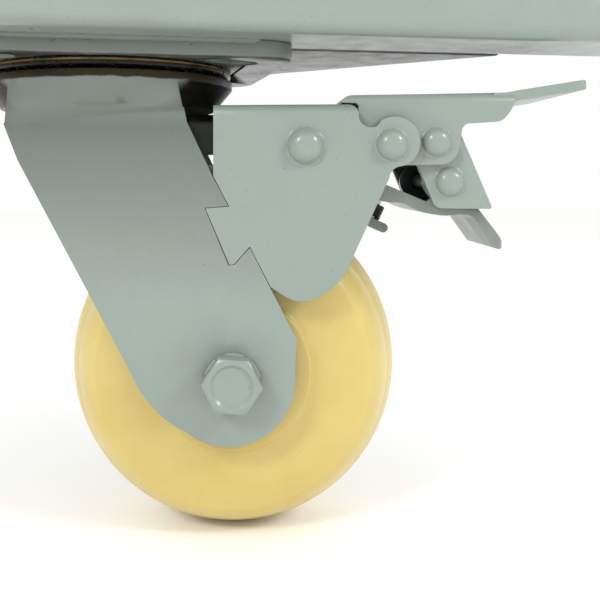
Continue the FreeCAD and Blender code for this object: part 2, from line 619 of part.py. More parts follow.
# ---------------------------------------------------------------- wheel and axle
def wheel_group():
    centre = at(AXLE)
    half, radius = size("wheel_half"), size("wheel_radius")
    bore, deep = size("bearing_radius"), size("bearing_width")
    wheel = new_body("wheel", centre)
    section = new_sketch(wheel, "XY_Plane", "wheel_section")
    hub, dish = 28.5, 1.6
    side = [(size("wheel_radius") - 12, dish - half), (size("wheel_radius") - 6.9, 6.5 - half),
            (size("wheel_radius") - 4, 13 - half)]
    mirrored = [(across, -along) for across, along in side]
    draw(section, (bore - 3, deep - half), (bore + 0.02, deep - half), (bore + 0.02, 0.6 - half),
         (bore + 0.6, -half), (hub - 0.8, -half), (hub, 0.8 - half), (hub + 0.8, dish - half),
         side[0], (side[1], side[2]), ((radius, 0), mirrored[2]), (mirrored[1], mirrored[0]),
         (hub + 0.8, half - dish), (hub, half - 0.8), (hub - 0.8, half), (bore + 0.6, half),
         (bore + 0.02, half - 0.6), (bore + 0.02, half - deep), (bore - 3, half - deep))
    spin(wheel, section)

    inner_bore, outer = size("bearing_bore"), size("bearing_radius")
    middle, circle, ball = deep / 2, 16.75, 3.9
    outers, inners, balls, shields = [], [], [], []
    for side in (1, -1):
        base = side * (half - middle)
        shift = FreeCAD.Placement(Vector(0, base, 0), FreeCAD.Rotation(Vector(1, 0, 0), 90))
        start = Vector(0, 0, -middle)
        race = Part.makeCylinder(outer, deep, start).cut(Part.makeCylinder(19.6, deep, start))
        hub_race = Part.makeCylinder(13.9, deep, start).cut(Part.makeCylinder(inner_bore + 0.02, deep, start))
        track = Part.makeTorus(circle, ball + 0.06)
        outers.append(placed(race.cut(track), shift))
        inners.append(placed(hub_race.cut(track), shift))
        for number in range(8):
            turn = math.radians(45 * number)
            spot = Vector(circle * math.cos(turn), circle * math.sin(turn), 0)
            balls.append(placed(Part.makeSphere(ball, spot), shift))
        for face in (1, -1):
            low = Vector(0, 0, face * (middle - 1.2) - 0.25)
            disc = Part.makeCylinder(19.55, 0.5, low).cut(Part.makeCylinder(14.3, 0.5, low))
            shields.append(placed(disc, shift))
    group("bearing_outer_rings", outers, centre)
    group("bearing_inner_rings", inners, centre)
    group("bearing_balls", balls, centre)
    group("bearing_shields", shields, centre)

    grip = size("leg_outer") - size("leg_thick")
    tube("axle_sleeve", size("axle_radius") + 0.3, size("bearing_bore"), -grip, grip, centre)
    spacer = []
    for side in (1, -1):
        ends = sorted((side * (half + 0.02), side * (grip - 0.02)))
        ring = Part.makeCylinder(13.5, ends[1] - ends[0], Vector(0, ends[0], 0), Vector(0, 1, 0))
        spacer.append(ring.cut(Part.makeCylinder(size("bearing_bore") + 0.02, 90, Vector(0, -45, 0),
                                                 Vector(0, 1, 0))))
    group("axle_spacers", spacer, centre)


def placed(shape, placement):
    shape.Placement = placement.multiply(shape.Placement)
    return shape


def tube(label, inner, outer, low, high, placement):
    """A plain tube along the group's Y axis."""
    body = new_body(label, placement)
    section = new_sketch(body, "XY_Plane", label + "_section")
    draw(section, (inner, low), (outer, low), (outer, high), (inner, high))
    spin(body, section)
    return body


def axle():
    centre, face = at(AXLE), size("leg_outer")
    washer, head, nut = 2.5, 8.0, 10.0
    across_flats = 18.0
    washers = []
    for low in (-face - washer, face):
        ring = Part.makeCylinder(9.7, washer, Vector(0, low, 0), Vector(0, 1, 0))
        washers.append(ring.cut(Part.makeCylinder(size("axle_radius") + 0.2, washer, Vector(0, low, 0),
                                                  Vector(0, 1, 0))))
    group("axle_washers", washers, centre)
    to_near = FreeCAD.Placement(Vector(0, -face - washer, 0), FreeCAD.Rotation(Vector(1, 0, 0), 90))
    turned = FreeCAD.Placement(Vector(), FreeCAD.Rotation(Vector(0, 0, 1), -4))
    bolt = hex_body("axle_bolt", across_flats, head, 0, centre.multiply(to_near).multiply(turned), crown=6.6)
    shank = new_sketch(bolt, "XY_Plane", "bolt_shank")
    draw_circle(shank, (0, 0), "dims.axle_radius")
    length = face * 2 + 2 * washer + nut + 2
    feature = bolt.newObject("PartDesign::Pad", "bolt_shank_pad")
    feature.Profile = shank
    feature.Reversed = True
    feature.Length = length
    doc.recompute()
    to_far = FreeCAD.Placement(Vector(0, face + washer, 0), FreeCAD.Rotation(Vector(1, 0, 0), -90))
    hex_body("axle_nut", across_flats, nut, size("axle_radius") + 0.05, centre.multiply(to_far))


# ---------------------------------------------------------------- pedal, link, lever
def pedal():
    body = new_body("pedal", SWIVEL)
    outline = new_sketch(body, "XZ_Plane", "pedal_outline")
    x = PEDAL_PIVOT[0]
    draw(outline, (86.6, -20.6), (86.6, -19.6), ((88.3, -18.4), (90.5, -17.9)), (120.0, -17.4), (143.0, -16.9),
         (147.0, -16.6), (147.4, -19.6), ((146.4, -22.4), (144.4, -25.4)), ((142.4, -27.0), (140.0, -27.3)),
         (131.6, -27.9), ((129.4, -28.9), (128.6, -31.0)), (127.8, -36.0),
         ((125.6, -40.6), (120.6, -42.4)), (x + 3.5, -42.7), ((x - 6.0, -41.0), (92.4, -33.0)),
         (92.4, -21.6), (91.6, -20.8))
    pad(body, outline, "2 * dims.pedal_outer")
    room = new_sketch(body, "XZ_Plane", "pedal_room")
    deep = size("pedal_thick")
    draw(room, (80, -17.9 - deep), (90.5, -17.9 - deep), (120.0, -17.4 - deep), (143.0, -16.9 - deep),
         (160, -16.3 - deep), (160, -60), (80, -60))
    pocket(body, room, "2 * (dims.pedal_outer - dims.pedal_thick)")
    round_bends(body, size("pedal_outer"), -16.6, size("pedal_bend"))
    tread = new_sketch(body, "XZ_Plane", "tread_outline")
    draw(tread, (140.0, -17.0), ((144.5, -16.9), (148.5, -16.2)), (171.8, -12.5),
         ((173.4, -13.2), (173.6, -15.0)), (172.6, -15.9), (149.0, -19.7), ((144.5, -20.3), (140.0, -20.0)))
    pad(body, tread, "2 * dims.tread_half")
    round_corners(body, size("tread_half"), 173.7, 3)
    drill(body, [PEDAL_PIVOT], "dims.pin_radius + dims.pin_play", "pedal_bore")
    drill(body, [LINK_PIVOT], "dims.small_pin_radius + 0.02", "pedal_pin_hole")


def link():
    """The link hangs between the pedal and the brake lever, open towards the lever.

    It is drawn with its web as a flat top and then turned to its slope.
    """
    top, low = (129.5, -30.1), (140.6, -56.2)
    turn = math.atan2(top[1] - low[1], low[0] - top[0])
    slope = FreeCAD.Placement(Vector(), FreeCAD.Rotation(Vector(0, 1, 0), math.degrees(turn)))

    def laid(point):
        across, up = point[0] - top[0], point[1] - top[1]
        return (across * math.cos(turn) - up * math.sin(turn), across * math.sin(turn) + up * math.cos(turn))

    body = new_body("link_bracket", at(top).multiply(slope))
    outline = new_sketch(body, "XZ_Plane", "link_outline")
    draw(outline, laid(top), laid(low), (laid((140.4, -57.7)), laid((139.2, -58.1))), laid((122.4, -57.9)),
         (laid((120.2, -57.0)), laid((119.0, -54.9))), laid((113.0, -40.4)),
         (laid((112.6, -31.4)), laid((120.2, -26.6))), (laid((125.6, -26.9)), laid(top)))
    pad(body, outline, "2 * dims.link_outer")
    room = new_sketch(body, "YZ_Plane", "link_room")
    inner, roof, soft = size("link_outer") - size("link_thick"), -size("link_thick"), 0.8
    draw(room, (-inner, -60), (inner, -60), (inner, roof - soft),
         ((inner - soft * 0.3, roof - soft * 0.3), (inner - soft, roof)), (soft - inner, roof),
         ((soft * 0.3 - inner, roof - soft * 0.3), (-inner, roof - soft)))
    pocket(body, room)
    round_bends(body, size("link_outer"), 0, size("link_bend"))
    drill(body, [laid(LINK_PIVOT)], "dims.small_pin_radius + dims.pin_play", "link_bore")
    drill(body, [laid(KNEE_PIVOT)], "dims.small_pin_radius + 0.02", "link_pin_hole")


def brake_lever():
    body = new_body("brake_lever", SWIVEL)
    outline = new_sketch(body, "XZ_Plane", "lever_outline")
    x, z = LEVER_PIVOT
    knee_x, knee_z = KNEE_PIVOT
    draw(outline, (x - 9, z - 2), ((x - 2.5, z + 8.6), (x + 7.4, z + 5.2)), (101.0, -48.6), (117.6, -55.6),
         (119.4, -54.4), ((knee_x - 8.0, knee_z + 3.0), (knee_x - 2.0, knee_z + 8.2)),
         ((knee_x + 5.2, knee_z + 5.4), (knee_x + 7.2, knee_z - 1.2)), (knee_x + 5.0, -57.6), (130.0, -59.7),
         ((126.0, -60.6), (121.0, -60.3)), ((116.6, -59.4), (112.6, -57.6)), ((109.0, -56.2), (104.6, -56.0)),
         (99.0, -54.8), (x + 1, z - 12.6), ((x - 5.6, z - 10.4), (x - 9, z - 2)))
    pad(body, outline, "2 * dims.lever_outer")
    room = new_sketch(body, "XZ_Plane", "lever_room")
    sheet_thick = size("lever_thick")
    web_start = 84.2
    draw(room, (50, -20), (50, -70), (web_start, -70), (web_start, z - 15.1 + sheet_thick),
         (98.4, -54.8 + sheet_thick),
         (105.0, -56.0 + sheet_thick), (112.0, -57.4 + sheet_thick), (117.0, -59.6 + sheet_thick),
         (130.0, -59.7 + sheet_thick), (140, -59.7 + sheet_thick), (140, -20))
    pocket(body, room, "2 * (dims.lever_outer - dims.lever_thick)")
    tongue = new_sketch(body, "XZ_Plane", "tongue_outline")
    draw(tongue, (127.0, -60.5), (132.4, -60.5), ((134.9, -61.0), (136.6, -62.2)), (144.0, -72.6),
         ((146.3, -72.8), (147.0, -70.6)), (138.0, -58.9), ((136.4, -57.5), (134.0, -57.2)), (127.0, -57.2))
    pad(body, tongue, "2 * dims.tongue_half")
    round_corners(body, size("tongue_half"), 147.0, 3.5)
    hole = new_sketch(body, "XY_Plane", "screw_hole")
    draw_circle(hole, (0, 0), "dims.screw_radius + 0.4")
    hole.AttachmentOffset = FreeCAD.Placement(
        Vector(SCREW_FOOT[0], 0, SCREW_FOOT[1]),
        FreeCAD.Rotation(Vector(0, 1, 0), math.degrees(SHOE_SLOPE)))
    doc.recompute()
    pocket(body, hole, "40")
    drill(body, [LEVER_PIVOT], "dims.pin_radius + dims.pin_play", "lever_bore")
    drill(body, [KNEE_PIVOT], "dims.small_pin_radius + dims.knee_play", "knee_bore")


SHOE_SLOPE = math.radians(24.5)
SHOE_END = (105.6, -68.3)


def along_shoe(distance, height=0.0):
    """A point on the shoe's underside, distance back from its end, height above the underside."""
    return (SHOE_END[0] - distance * math.cos(SHOE_SLOPE) + height * math.sin(SHOE_SLOPE),
            SHOE_END[1] + distance * math.sin(SHOE_SLOPE) + height * math.cos(SHOE_SLOPE))


SCREW_FOOT = along_shoe(7.5)


def brake_shoe():
    body = new_body("brake_shoe", SWIVEL)
    outline = new_sketch(body, "XZ_Plane", "shoe_outline")
    x, z = LEVER_PIVOT
    thick = size("shoe_thick")
    half = thick / 2
    draw(outline, along_shoe(half), (along_shoe(0, half), along_shoe(half, thick)), along_shoe(27, thick),
         (x + 7.0, z - 3.0), ((x, z + 7.6), (x - 7.6, z - 0.6)), along_shoe(43, thick), along_shoe(43))
    pad(body, outline, "2 * dims.shoe_outer")
    room = new_sketch(body, "XZ_Plane", "shoe_room")
    draw(room, along_shoe(-10, thick), along_shoe(60, thick), (40, -20), (110, -20))
    pocket(body, room, "2 * (dims.shoe_outer - 3)")
    sides = new_sketch(body, "XY_Plane", "shoe_tail")
    wide, tail, soft = size("shoe_outer") + 1, size("tail_half"), 3
    start = along_shoe(14)[0]
    for side in (1, -1):
        draw(sides, (start, side * wide), (start, side * (tail + soft)),
             ((start + 0.3 * soft, side * (tail + 0.3 * soft)), (start + soft, side * tail)),
             (120, side * tail), (120, side * wide))
    pocket(body, sides)
    drill(body, [LEVER_PIVOT], "dims.pin_radius + dims.pin_play", "shoe_bore")

    turn = FreeCAD.Placement(Vector(), FreeCAD.Rotation(Vector(0, 1, 0), math.degrees(SHOE_SLOPE)))
    screw_frame = at(SCREW_FOOT).multiply(turn)
    shaft = Part.makeCylinder(size("screw_radius"), 13.5, Vector(0, 0, thick))
    head = Part.makeCylinder(4.2, 2.4, Vector(0, 0, thick + 11.4))
    group("adjusting_screw", [shaft.fuse(head).removeSplitter()], screw_frame)
    group("shoe_spring", [coil_spring(3.8, 0.8, thick + 0.05, 5.8, 4)], screw_frame)

    engaged = Part.makeCylinder(size("wheel_radius") + 5, 36, Vector(AXLE[0], -18, AXLE[1]), Vector(0, 1, 0))
    engaged = engaged.cut(Part.makeCylinder(size("wheel_radius") + 0.5, 36, Vector(AXLE[0], -18, AXLE[1]),
                                            Vector(0, 1, 0)))
    wedge = Part.makePolygon([Vector(AXLE[0], -18, AXLE[1])]
                             + [Vector(AXLE[0] + 90 * math.sin(math.radians(angle)), -18,
                                       AXLE[1] + 90 * math.cos(math.radians(angle))) for angle in (19, 29, 40)]
                             + [Vector(AXLE[0], -18, AXLE[1])])
    sector = Part.Face(wedge).extrude(Vector(0, 36, 0))
    pad_shape = engaged.common(sector)
    pad_shape.rotate(Vector(LEVER_PIVOT[0], 0, LEVER_PIVOT[1]), Vector(0, 1, 0), -LEVER_TRAVEL)
    above = Part.makeBox(90, 80, 30, Vector(-70, -40, -0.02))
    pad_shape = pad_shape.cut(placed(above, FreeCAD.Placement(Vector(SHOE_END[0], 0, SHOE_END[1]),
                                                              FreeCAD.Rotation()).multiply(turn)))
    group("brake_pad", [pad_shape], SWIVEL)


def swivel_pawl():
    """An arm inside the lever that lifts teeth into the fixed ring when the pedal is pressed."""
    x, z = LEVER_PIVOT
    body = new_body("swivel_pawl", SWIVEL)
    outline = new_sketch(body, "XZ_Plane", "pawl_outline")
    tip, far, near_end = -39.2, 18.5, 26.5
    draw(outline, (far, tip - 3.5), (near_end, tip - 3.5), (x - 15, tip - 2.5),
         ((x - 4, z + 7.2), (x + 7.6, z)),
         ((x + 5.2, z - 5.6), (x, z - 7.6)), (x - 8, z - 9.6), (near_end, tip - 8.5), (far, tip - 6.5))
    pad(body, outline, "2 * dims.pawl_half")
    drill(body, [LEVER_PIVOT], "dims.pin_radius + dims.pin_play", "pawl_bore")
    teeth = new_sketch(body, "XY_Plane", "pawl_teeth")
    pitch = 2 * math.pi / size("tooth_count")
    tooth_half = 1.1
    for number in (-1, 0, 1):
        draw(teeth, *spoke(number * pitch, 20, 25.4, tooth_half))
    raised(teeth, tip - 4.5)
    feature = body.newObject("PartDesign::Pad", "pawl_teeth_pad")
    feature.Profile = teeth
    feature.Length = 4.5
    doc.recompute()
    settled(feature)


def coil_spring(radius, wire, low, height, turns):
    """A round-wire compression spring about Z, its ends tucked into flat rings."""
    pitch = (height - 2 * wire) / turns
    path = Part.makeHelix(pitch, height - 2 * wire, radius)
    path.translate(Vector(0, 0, low + wire))
    profile = Part.Wire(Part.makeCircle(wire, Vector(radius, 0, low + wire), Vector(0, 1, 0)))
    return Part.Wire(path).makePipeShell([profile], True, True)


doc.recompute()
base_frame()
swivel_head()
fork()
fork_bearings()
brake_housing()
rivet("lever_pivot_pin", LEVER_PIVOT, size("leg_outer"), size("pin_radius"), 6.2, 4.0)
rivet("pedal_pivot_pin", PEDAL_PIVOT, size("leg_outer"), size("pin_radius"), 5.3, 3.4)
rivet("link_pin", LINK_PIVOT, size("pedal_outer"), size("small_pin_radius"), 4.9, 3.2)
rivet("knee_pin", KNEE_PIVOT, size("link_outer"), size("small_pin_radius"), 5.0, 3.2)
wheel_group()
axle()
pedal()
link()
brake_lever()
brake_shoe()
swivel_pawl()

# ---------------------------------------------------------------- check and write
doc.recompute()
for item in doc.Objects:
    if "Invalid" in item.State or "Error" in item.State:
        raise RuntimeError("%s is in state %s" % (item.Label, item.State))
os.makedirs("parts", exist_ok=True)
for item in sub_parts:
    if item.Shape.isNull() or not item.Shape.isValid() or not item.Shape.Solids:
        raise RuntimeError("%s has no valid solid" % item.Label)
    item.Shape.exportStep(os.path.join("parts", item.Label + ".step"))
    print("%-22s %2d solid(s), %9.1f mm3" % (item.Label, len(item.Shape.Solids), item.Shape.Volume))
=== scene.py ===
"""Looks of a scaffold's swivel caster with a total-lock brake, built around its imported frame."""
import json
import math
import random

import bmesh
import bpy
from bpy.props import FloatProperty, FloatVectorProperty, PointerProperty
from mathutils import Matrix, Vector


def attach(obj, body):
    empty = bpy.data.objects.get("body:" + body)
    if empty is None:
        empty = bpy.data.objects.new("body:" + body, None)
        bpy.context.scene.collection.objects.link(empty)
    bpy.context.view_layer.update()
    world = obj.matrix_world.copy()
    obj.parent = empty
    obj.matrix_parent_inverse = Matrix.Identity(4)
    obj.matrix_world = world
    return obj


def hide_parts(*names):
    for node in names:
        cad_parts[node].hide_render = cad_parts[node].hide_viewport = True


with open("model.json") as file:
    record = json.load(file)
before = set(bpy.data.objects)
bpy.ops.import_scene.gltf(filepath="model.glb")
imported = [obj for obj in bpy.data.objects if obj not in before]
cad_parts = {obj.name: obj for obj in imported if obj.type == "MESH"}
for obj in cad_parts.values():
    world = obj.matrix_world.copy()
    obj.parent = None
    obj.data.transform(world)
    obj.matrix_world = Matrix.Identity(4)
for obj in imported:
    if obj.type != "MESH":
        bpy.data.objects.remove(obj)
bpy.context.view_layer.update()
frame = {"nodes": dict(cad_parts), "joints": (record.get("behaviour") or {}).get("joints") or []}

bl_info = {
    "name": "Scaffold caster",
    "version": (1, 0, 0),
    "blender": (4, 5, 0),
    "location": "View3D > Sidebar > Caster",
    "description": "Wheel, rivets, welds, spring and finishes of a scaffold's swivel caster",
    "category": "Object",
}

MM = 0.001
JOINTS = {joint["name"]: joint for joint in frame["joints"]}

# The fork's own frame: along the caster, across it (the way the axle points) and up.
AXLE = Vector(JOINTS["wheel_spin"]["pos_m"])
ACROSS = Vector(JOINTS["wheel_spin"]["axis"]).normalized()
UP = Vector((0, 0, 1))
ALONG = ACROSS.cross(UP).normalized()
FORK_TURN = -math.atan2(ALONG.y, ALONG.x)


def fork_frame(origin):
    """Matrix from the fork's directions, about a point, to the object's frame."""
    turn = Matrix((ALONG, ACROSS, UP)).transposed().to_4x4()
    return Matrix.Translation(origin) @ turn


def pivot(joint):
    """Where a joint turns, at rest."""
    return Vector(JOINTS[joint]["pos_m"])


# ---------------------------------------------------------------- colours and nodes
def linear(code):
    """An sRGB hex colour as a linear RGBA value."""
    parts = [int(code[start:start + 2], 16) / 255 for start in (1, 3, 5)]
    return tuple(part / 12.92 if part <= 0.04045 else ((part + 0.055) / 1.055) ** 2.4
                 for part in parts) + (1.0,)


def add_node(tree, kind, settings=None):
    """One node. A setting is one of its properties, or an input with what it gets: a value, a hex
    colour, a socket, or a node whose first output feeds it."""
    node = tree.nodes.new("ShaderNode" + kind)
    for name, value in (settings or {}).items():
        source = value.outputs[0] if isinstance(value, bpy.types.Node) else value
        if isinstance(name, str) and name in node.bl_rna.properties:
            setattr(node, name, value)
        elif isinstance(source, bpy.types.NodeSocket):
            tree.links.new(source, node.inputs[name])
        else:
            node.inputs[name].default_value = linear(value) if isinstance(value, str) else value
    return node


def per_mm(size_mm):
    """Scale of a noise pattern whose features are so many millimetres across."""
    return 1 / (size_mm * MM)


def start_material(name):
    """An empty material, its nodes, and the Object coordinates that its patterns are drawn in."""
    material = bpy.data.materials.new(name)
    material.use_nodes = True
    tree = material.node_tree
    tree.nodes.clear()
    return material, tree, add_node(tree, "TexCoord").outputs["Object"]


def finish_material(material, surface):
    """The material with its output and a shader, whose inputs get what surface says."""
    shader = add_node(material.node_tree, "BsdfPrincipled", surface)
    add_node(material.node_tree, "OutputMaterial", {"Surface": shader})
    return material


# A Mix node's colour sockets, by number because its other sockets have the same names.
MIX_FACTOR, MIX_UNDER, MIX_OVER, MIX_RESULT = 0, 6, 7, 2


def layered(tree, colour, coats):
    """Colours laid one over another, each through its own mask."""
    for mask, coat in coats:
        mix = add_node(tree, "Mix", {"data_type": "RGBA", MIX_FACTOR: mask, MIX_UNDER: colour,
                                     MIX_OVER: coat})
        colour = mix.outputs[MIX_RESULT]
    return colour


def noise_mask(tree, place, size_mm, low, high, strength=1.0, detail=4.0, rough=0.55, least=0.0):
    """A mask from noise of a real size: least where the noise is below low, strength above high."""
    noise = add_node(tree, "TexNoise", {"Vector": place, "Scale": per_mm(size_mm), "Detail": detail,
                                        "Roughness": rough})
    return add_node(tree, "MapRange", {"Value": noise, "From Min": low, "From Max": high,
                                       "To Min": least, "To Max": strength})


def worn_edges(tree, place, radius_mm, strength):
    """A mask along convex edges, broken up by noise: where handling rubs paint thin."""
    rounded = add_node(tree, "Bevel", {"samples": 4, "Radius": radius_mm * MM})
    flat = add_node(tree, "NewGeometry").outputs["Normal"]
    facing = add_node(tree, "VectorMath", {"operation": "DOT_PRODUCT", 0: rounded, 1: flat})
    edge = add_node(tree, "MapRange", {"Value": facing.outputs["Value"], "From Min": 0.97, "From Max": 0.80})
    patches = noise_mask(tree, place, 5.0, 0.56, 0.66, strength, 6.0)
    return add_node(tree, "Math", {"operation": "MULTIPLY", 0: edge, 1: patches})


# ---------------------------------------------------------------- materials
def sprayed_enamel(name, colour, grime=0.10, shade_and_joint_darkening=0.0, soot_and_shade_below=None, oily_shaded_crown=False, peel_mm=0.02):
    """Alkyd enamel sprayed on pressed steel: glossy, slightly orange-peeled, dull where a greasy film
    sticks, and evenly darkened by painted shade where asked.
    """
    material, tree, place = start_material(name)
    surface = {"IOR": 1.5, "Coat Weight": 0.25, "Coat Roughness": 0.10}
    uneven = noise_mask(tree, place, 38.0, 0.35, 0.70, 0.30)
    greasy_film = noise_mask(tree, place, 9.0, 0.50, 0.85, grime, 8.0, 0.6)
    rust_specks = noise_mask(tree, place, 1.1, 0.745, 0.765, 0.75, 2.0)
    rubbed = worn_edges(tree, place, 0.7, 0.35)
    # shade_and_joint_darkening darkens the whole surface evenly: painted shade on the plate, gusset and
    # brake lever, and dark joints on the weld beads.
    coats = [(uneven, "#7a867e"), (shade_and_joint_darkening, "#464b45"), (greasy_film, "#6d6c5c"), (rust_specks, "#4c3a22"),
             (rubbed, "#5d5e55")]
    if soot_and_shade_below is not None:
        coats += soot_and_painted_shade(tree, place, soot_and_shade_below)
    if oily_shaded_crown:
        oil_and_shade_coats, oil_and_shade_mask = crown_oil_and_painted_shade(tree, place)
        coats += oil_and_shade_coats
        # Dried oil takes most of the paint's shine away.
        for shine, clean in (("Specular IOR Level", 0.5), ("Coat Weight", 0.25)):
            surface[shine] = add_node(tree, "MapRange", {"Value": oil_and_shade_mask, "To Min": clean,
                                                         "To Max": 0.3 * clean})
    wave = add_node(tree, "TexNoise", {"Vector": place, "Scale": per_mm(24.0), "Detail": 1.0})
    sheet = add_node(tree, "Bump", {"Height": wave, "Distance": 0.35 * MM, "Strength": 0.5})
    peel = add_node(tree, "TexNoise", {"Vector": place, "Scale": per_mm(1.6), "Detail": 1.5})
    surface["Base Color"] = layered(tree, (*colour, 1.0), coats)
    surface["Roughness"] = noise_mask(tree, place, 9.0, 0.30, 0.75, 0.46, 6.0, least=0.26)
    surface["Normal"] = add_node(tree, "Bump", {"Height": peel, "Distance": peel_mm * MM, "Normal": sheet})
    return finish_material(material, surface)


def soot_and_painted_shade(tree, place, top_mm):
    """Coats of welding soot and painted shade below a height, black and ruddy, with splashes of soot all
    over.
    """
    height = add_node(tree, "SeparateXYZ", {"Vector": place}).outputs["Z"]
    under = add_node(tree, "MapRange", {"Value": height, "From Min": (top_mm + 0.4) * MM,
                                        "From Max": top_mm * MM})
    smears = noise_mask(tree, place, 26.0, 0.36, 0.60, 0.96, 9.0, 0.66)
    ruddy = noise_mask(tree, place, 6.0, 0.52, 0.66, 0.55, 7.0)
    splashes = noise_mask(tree, place, 3.0, 0.66, 0.71, 0.7, 5.0)
    # Below the height: soot smears and painted shade of the underside.
    coats = [(add_node(tree, "Math", {"operation": "MULTIPLY", 0: under, 1: patches}), colour)
             for patches, colour in ((smears, "#1f1c17"), (ruddy, "#4b3f33"))]
    return coats + [(splashes, "#2b2821")]


def crown_oil_and_painted_shade(tree, place):
    """Coats of painted shade on the fork's legs, darker up towards the crown and less so on the flare, of
    oil and painted shade round its cup and of oil on its rim, and the mask of the oil and the cup's shade.
    """
    aligned = add_node(tree, "Mapping", {"Vector": place, "Rotation": (0, 0, FORK_TURN)})
    axes = add_node(tree, "SeparateXYZ", {"Vector": aligned}).outputs
    across = add_node(tree, "Math", {"operation": "ABSOLUTE", 0: axes["Y"]})
    wander = noise_mask(tree, place, 7.0, 0.2, 0.8, 0.8 * MM, 4.0)
    ragged = add_node(tree, "Math", {"operation": "ADD", 0: axes["Z"], 1: wander})
    # Each fades in from one place to another along an axis, in millimetres, up to its strength.
    shade_towards_crown, shade_eased_on_flare, on_cup, between_legs, rim = (
        add_node(tree, "MapRange", {"Value": axis, "From Min": start * MM, "From Max": end * MM,
                                    "To Max": strength})
        for axis, start, end, strength in (
            (axes["Z"], -90.0, -30.0, 0.78), (axes["Z"], -29.0, -22.0, 0.22), (ragged, -24.5, -22.5, 1.0),
            (across, 37.5, 33.5, 1.0), (ragged, -12.9, -12.3, 1.0)))
    # Painted shade: the legs get darker up towards the crown, a little less so on the flare.
    painted_shade_on_legs = add_node(tree, "Math", {"operation": "SUBTRACT", 0: shade_towards_crown, 1: shade_eased_on_flare})
    # The cup between the legs is dark from oil, and from painted shade inside the crown.
    cup_oil_and_shade = add_node(tree, "Math", {"operation": "MULTIPLY", 0: on_cup, 1: between_legs})
    oil_and_shade_mask = add_node(tree, "Math", {"operation": "MAXIMUM", 0: cup_oil_and_shade, 1: rim})
    thin = noise_mask(tree, place, 8.0, 0.52, 0.75, 0.75, 7.0)
    browned = add_node(tree, "Math", {"operation": "MULTIPLY", 0: rim, 1: 0.7})
    oil = layered(tree, "#0c0b06", ((thin, "#352c12"), (browned, "#2f2810")))
    return [(painted_shade_on_legs, "#50554f"), (oil_and_shade_mask, oil)], oil_and_shade_mask


def greased_steel(name):
    """Turned steel race under old grease: nearly black and wet, with a painted highlight, a golden line
    along its top edge.
    """
    material, tree, place = start_material(name)
    height = add_node(tree, "SeparateXYZ", {"Vector": place}).outputs["Z"]
    painted_highlight_line = noise_mask(tree, place, 12.0, 0.30, 0.62, 1.0, 6.0)
    # A thin band in height gets the painted highlight on the race's edge.
    for start, end in ((-7.5, -7.2), (-6.7, -7.0)):
        side = add_node(tree, "MapRange", {"Value": height, "From Min": start * MM, "From Max": end * MM})
        painted_highlight_line = add_node(tree, "Math", {"operation": "MULTIPLY", 0: painted_highlight_line, 1: side})
    film = noise_mask(tree, place, 9.0, 0.52, 0.72, 0.55, 7.0, 0.6)
    clots = noise_mask(tree, place, 2.5, 0.55, 0.66, 0.9, 5.0)
    return finish_material(material, {
        "Base Color": layered(tree, "#080704", ((film, "#221b0b"), (painted_highlight_line, "#8f7440"))),
        "Roughness": add_node(tree, "MapRange", {"Value": clots, "To Min": 0.22, "To Max": 0.55}),
        "Normal": add_node(tree, "Bump", {"Height": clots, "Distance": 0.20 * MM}),
        "Specular IOR Level": 0.25})


def plated_steel(name, light="#b9bdc1", dark="#8d9196", polished=0.26, dull=0.42):
    """Zinc-plated or ground steel: bright metal with fine turning marks and a patchy dull bloom."""
    material, tree, place = start_material(name)
    bloom = noise_mask(tree, place, 6.0, 0.35, 0.70, 1.0, 6.0)
    marks = add_node(tree, "TexNoise", {"Vector": place, "Scale": per_mm(0.5), "Detail": 2.0})
    return finish_material(material, {
        "Base Color": layered(tree, light, ((bloom, dark),)),
        "Metallic": 1.0,
        "Roughness": add_node(tree, "MapRange", {"Value": bloom, "To Min": polished, "To Max": dull}),
        "Normal": add_node(tree, "Bump", {"Height": marks, "Distance": 0.008 * MM})})


def cast_nylon(name, colour):
    """Cast polyamide, cream yellow and a little translucent: waxy gloss, clouds, scuffs on the tread."""
    material, tree, place = start_material(name)
    cloud = noise_mask(tree, place, 30.0, 0.35, 0.70, 0.6)
    scuff = noise_mask(tree, place, 4.0, 0.62, 0.80, 0.22, 8.0, 0.7)
    specks = noise_mask(tree, place, 0.9, 0.74, 0.77, 0.5, 2.0)
    soft = add_node(tree, "TexNoise", {"Vector": place, "Scale": per_mm(5.0), "Detail": 3.0})
    coats = ((cloud, "#bfa553"), (scuff, "#b39c5a"), (specks, "#6b5a34"))
    return finish_material(material, {
        "Base Color": layered(tree, (*colour, 1.0), coats),
        "Roughness": add_node(tree, "MapRange", {"Value": scuff, "To Min": 0.30, "To Max": 0.46}),
        "Normal": add_node(tree, "Bump", {"Height": soft, "Distance": 0.06 * MM}),
        "IOR": 1.53,
        "Subsurface Weight": 0.35,
        "Subsurface Scale": 4.0 * MM,
        "Subsurface Radius": (1.0, 0.75, 0.30),
        "Coat Weight": 0.12,
        "Coat Roughness": 0.2})


def moulded(name, light, dark, rough, grain_mm, depth_mm):
    """Moulded rubber or plastic: matt, with the fine grain of its mould."""
    material, tree, place = start_material(name)
    patch = noise_mask(tree, place, 8.0, 0.35, 0.70, 1.0, 5.0)
    grain = add_node(tree, "TexNoise", {"Vector": place, "Scale": per_mm(grain_mm), "Detail": 2.0})
    return finish_material(material, {
        "Base Color": layered(tree, light, ((patch, dark),)),
        "Roughness": add_node(tree, "MapRange", {"Value": patch, "To Min": rough, "To Max": rough + 0.15}),
        "Normal": add_node(tree, "Bump", {"Height": grain, "Distance": depth_mm * MM}),
        "IOR": 1.5})


